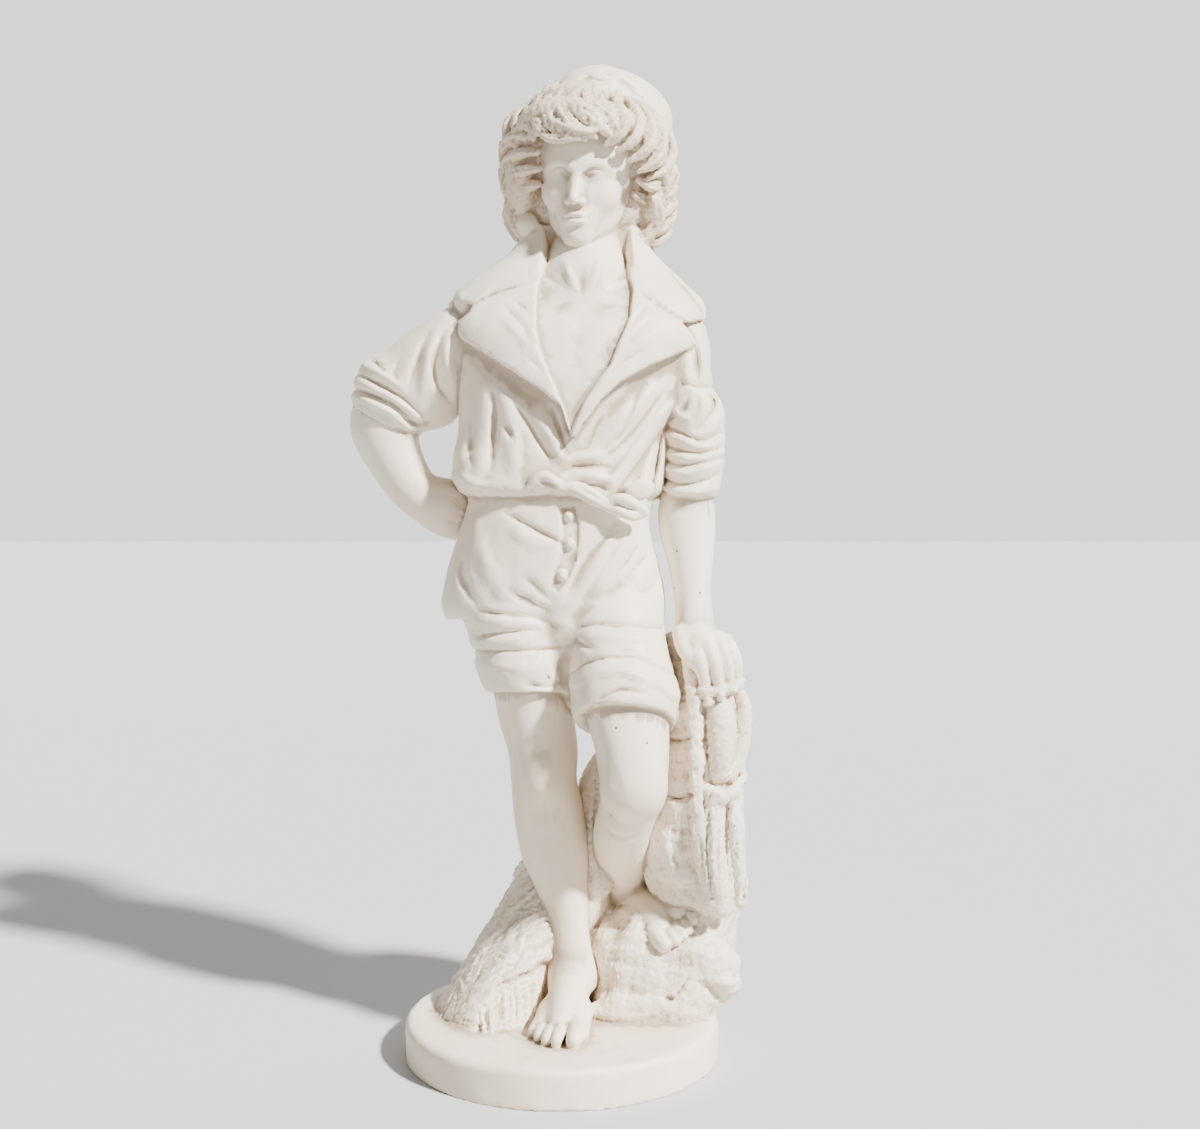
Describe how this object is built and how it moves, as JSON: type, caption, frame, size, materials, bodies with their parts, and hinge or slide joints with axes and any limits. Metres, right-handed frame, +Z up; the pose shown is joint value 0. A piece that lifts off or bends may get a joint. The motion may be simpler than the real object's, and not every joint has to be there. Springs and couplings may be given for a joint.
{
  "type": "marble statue",
  "caption": "White marble statue of a barefoot country boy in shirt and short trousers, leaning on a stump, on a round plinth.",
  "frame": {"origin": "centre of the round plinth's underside", "axes": "+Z up, +X towards the side with the stump, -Y towards the viewer whom the figure faces"},
  "size_m": [0.4512, 0.353, 1.1072],
  "materials": {
    "marble": "white marble, smooth skin and cloth, rough-tooled hair, netting and rock"
  },
  "bodies": {
    "root": {"marble_statue": "marble"}
  },
  "joints": []
}
